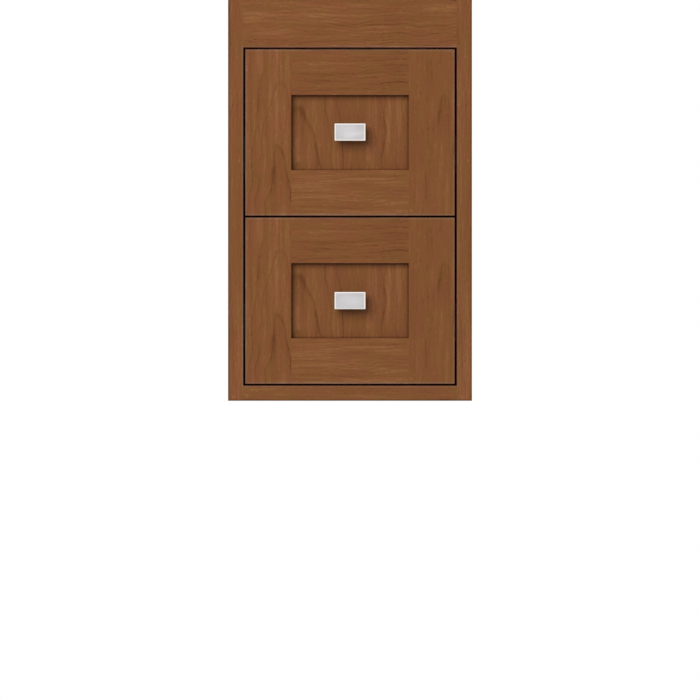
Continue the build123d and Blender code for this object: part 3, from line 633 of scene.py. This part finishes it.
# The face darkens towards its edges, which leaves a painted sheen in its middle.
painted_sheen_edge = (0.86, 0.86, 0.86, 1.0)
satin, polish, brushing = 0.36, 0.14, 0.05
foot_half = (0.0085, 0.0060)
neck_half = (0.0065, 0.0045)
foot_depth = 0.0025
head_depth = 0.008
corner_inset, corner_depth = 0.00035, 0.0012
bevel, bevel_depth = 0.0019, 0.0006
soft = 0.0003
round_corner = 0.0008
flare_rows = 10
knob_crease = math.radians(9.0)
bevel_rise, bevel_fall = (0.65, 0.80), (0.95, 0.98)
corner_rise, corner_fall = (0.25, 0.36), (0.45, 0.65)
face_shading = (0.15, 1.0)


def knob_metal(drawer, centre, half):
    """Satin nickel painted lightest in the middle of the face as a sheen, with a polished bevel lightened as a
    painted highlight and a corner line darkened as a painted reflection.

    A point's share of the way from the face's middle to its edge is the length of (across over half width,
    up over half height), and how squarely its face looks forward tells the bevel from the corner.
    """
    name = f"{drawer}_satin_nickel"
    material, tree, shader, place = metal(name, bright_nickel, dull_nickel, satin, brushing_and_sheen_aslant, brushing)
    square_on = calc(tree, "ABSOLUTE", vector_calc(tree, "DOT_PRODUCT", place["Normal"], (0.0, 1.0, 0.0)))
    on_bevel = between(tree, square_on, bevel_rise, bevel_fall)
    on_corner = between(tree, square_on, corner_rise, corner_fall)
    offset = vector_calc(tree, "DIVIDE", vector_calc(tree, "SUBTRACT", place["Object"], centre), half)
    share = vector_calc(tree, "LENGTH", vector_calc(tree, "MULTIPLY", offset, (1.0, 0.0, 1.0)))
    colour = shader["Base Color"].links[0].from_socket
    colour = blend(tree, step(tree, share, *face_shading), colour, painted_sheen_edge, "MULTIPLY")
    colour = blend(tree, on_bevel, colour, polished_bevel_highlight)
    tree.links.new(blend(tree, on_corner, colour, painted_dark_reflection), shader["Base Color"])
    rough = shader["Roughness"].links[0].from_socket
    smoother = calc(tree, "SUBTRACT", polish, rough)
    tree.links.new(calc(tree, "MULTIPLY_ADD", on_bevel, smoother, rough), shader["Roughness"])
    return material


for drawer in drawers:
    centre, half = common_box([f"{drawer}_knob"])
    projection = 2.0 * half.y
    head_back = projection - head_depth
    # The neck swells towards the foot with the square of the share of the way that is left to the head.
    flare = np.linspace(0.0, 1.0, flare_rows)
    swell = (1.0 - flare) ** 2
    neck_rows = np.stack([foot_depth + (head_back - foot_depth) * flare,
                          neck_half[0] + (foot_half[0] - neck_half[0]) * swell,
                          neck_half[1] + (foot_half[1] - neck_half[1]) * swell,
                          np.full(flare_rows, round_corner)], axis=-1)
    head_rows = [(depth, half.x - inset, half.z - inset, round_corner) for depth, inset in (
        (head_back, soft), (head_back + soft, 0.0), (projection - corner_depth, 0.0),
        (projection - bevel_depth, corner_inset), (projection - soft / 6, bevel - soft), (projection, bevel))]
    rows = np.concatenate([[(0.0, *foot_half, round_corner)], neck_rows, head_rows])
    seat = np.array([centre.x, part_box(f"{drawer}_knob")[1].y, centre.z])
    nickel = knob_metal(drawer, centre, half)
    knob = skin(f"{drawer}_cast_knob", oblong_rings(rows) + seat, nickel, knob_crease)
    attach(knob, f"{drawer}_drawer")
    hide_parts(f"{drawer}_knob")
    dress(f"{drawer}_knob_screw", zinc_screw)

# Moving slide rails, ball cages and release levers
# The middle and inner rails are rolled like the outer ones, and the inner ones are screwed to the boxes.
# Pressed cages hold the steel balls apart, and a moulded lever on each inner rail lets the drawer lift out.
bright_steel, dull_steel = (0.58, 0.57, 0.55, 1.0), (0.40, 0.39, 0.38, 1.0)
lever_black, lever_dust = (0.014, 0.014, 0.015, 1.0), (0.032, 0.031, 0.030, 1.0)
cage_steel = metal("cage_steel", bright_steel, dull_steel, gloss=0.30)[0]
lever_plastic = dusty_black("lever_plastic", lever_black, lever_dust, roughness=0.42, pitch=0.0004)
for drawer in drawers:
    for member in ("middle_rails", "inner_rails"):
        dress(f"{drawer}_{member}", rail_coat)
    dress(f"{drawer}_inner_rail_screws", zinc_screw)
    for member in ("outer_ball_cages", "inner_ball_cages"):
        dress(f"{drawer}_{member}", cage_steel)
    for side in sides:
        dress(f"{drawer}_{side}_release_lever", lever_plastic)

# Studio
# A pale floor lies well below the cabinet, which hangs as on a wall, and fades out into a white surround.
# A broad light stands up and left of the front, with a weak one for the sheen, and another stands behind.
case_low, case_high = cad_box
floor_drop, floor_reach, floor_sides = 0.60, 1.9, 96
floor_level = case_low.z - floor_drop
fade_start, fade_end = 0.45 * floor_reach, 0.98 * floor_reach
floor_grey, floor_pale = (0.80, 0.80, 0.79, 1.0), (0.84, 0.84, 0.83, 1.0)
speckle_scale = 60.0
rim_angle = np.linspace(0.0, 2.0 * math.pi, floor_sides, endpoint=False)
floor_points = np.stack([floor_reach * np.cos(rim_angle), floor_reach * np.sin(rim_angle),
                         np.full(floor_sides, floor_level)], axis=-1)
floor_mesh = bpy.data.meshes.new("studio_floor")
floor_mesh.from_pydata(floor_points, [], [list(range(floor_sides))])
floor_paint = bpy.data.materials.new("floor_paint")
floor_paint.use_nodes = True
tree = floor_paint.node_tree
tree.nodes.clear()
place = add(tree, "ShaderNodeTexCoord").outputs["Object"]
from_middle = vector_calc(tree, "LENGTH", vector_calc(tree, "MULTIPLY", place, (1.0, 1.0, 0.0)))
paint = blend(tree, noise(tree, place, speckle_scale, 3.0)[0], floor_grey, floor_pale)
painted = add(tree, "ShaderNodeBsdfDiffuse", {"Color": paint}).outputs[0]
clear = add(tree, "ShaderNodeBsdfTransparent").outputs[0]
underside = add(tree, "ShaderNodeNewGeometry").outputs["Backfacing"]
gone = calc(tree, "MAXIMUM", step(tree, from_middle, fade_start, fade_end), underside)
mixed = add(tree, "ShaderNodeMixShader", {0: gone, 1: painted, 2: clear}).outputs[0]
add(tree, "ShaderNodeOutputMaterial", {"Surface": mixed})
floor_mesh.materials.append(floor_paint)
floor = bpy.data.objects.new("studio_floor", floor_mesh)
bpy.context.collection.objects.link(floor)

world = bpy.data.worlds.new("white_surround")
bpy.context.scene.world = world
world.use_nodes = True
tree = world.node_tree
path = add(tree, "ShaderNodeLightPath").outputs
seen = calc(tree, "MAXIMUM", path["Is Camera Ray"], path["Is Transmission Ray"])
seen = calc(tree, "MAXIMUM", seen, path["Is Glossy Ray"])
fill_strength = 0.36
surround = tree.nodes["Background"]
surround.inputs["Color"].default_value = (1.0, 1.0, 1.0, 1.0)
tree.links.new(step(tree, seen, 0.0, 1.0, fill_strength, 1.0), surround.inputs["Strength"])

light_gap = 4.4
light_near, light_far = 0.11 * light_gap, 0.965 * light_gap
light_width = light_far - light_near
light_middle = (light_near + light_far) / 2
key_place = (-light_middle, front_face - light_gap, light_middle)
straight_back = (math.radians(90.0), 0.0, 0.0)
back_place = (3.4, 3.4, 0.7)
back_width = 2.6
towards_case = (-Vector(back_place)).to_track_quat("-Z", "Y").to_euler()
key_power, sheen_power, back_power = 290.0, 20.0, 120.0
lamps = (
    ("key_light", key_place, straight_back, light_width, key_power, False),
    ("sheen_light", key_place, straight_back, light_width, sheen_power, True),
    ("back_light", back_place, towards_case, back_width, back_power, False),
)
for name, place, turn, width, power, mirrored in lamps:
    lamp_data = bpy.data.lights.new(name, "AREA")
    lamp_data.shape = "SQUARE"
    lamp_data.size = width
    lamp_data.energy = power
    lamp = bpy.data.objects.new(name, lamp_data)
    lamp.location = place
    lamp.rotation_euler = turn
    lamp.visible_camera = False
    lamp.visible_glossy = mirrored
    bpy.context.collection.objects.link(lamp)

# Camera
# It stands straight in front on a long lens, level with the middle of the picture.
# The picture's upper edge lies just under the case's top.
picture_width = 0.8748
top_trim = 0.0008
camera_gap = 5.0
camera_data = bpy.data.cameras.new("front_camera")
camera_data.sensor_width = 36.0
camera_data.lens = camera_data.sensor_width * camera_gap / picture_width
camera = bpy.data.objects.new("front_camera", camera_data)
camera.location = (0.0, front_face - camera_gap, case_high.z - top_trim - picture_width / 2)
camera.rotation_euler = (math.radians(90.0), 0.0, 0.0)
bpy.context.collection.objects.link(camera)
bpy.context.scene.camera = camera
bpy.context.scene.view_settings.view_transform = "Standard"
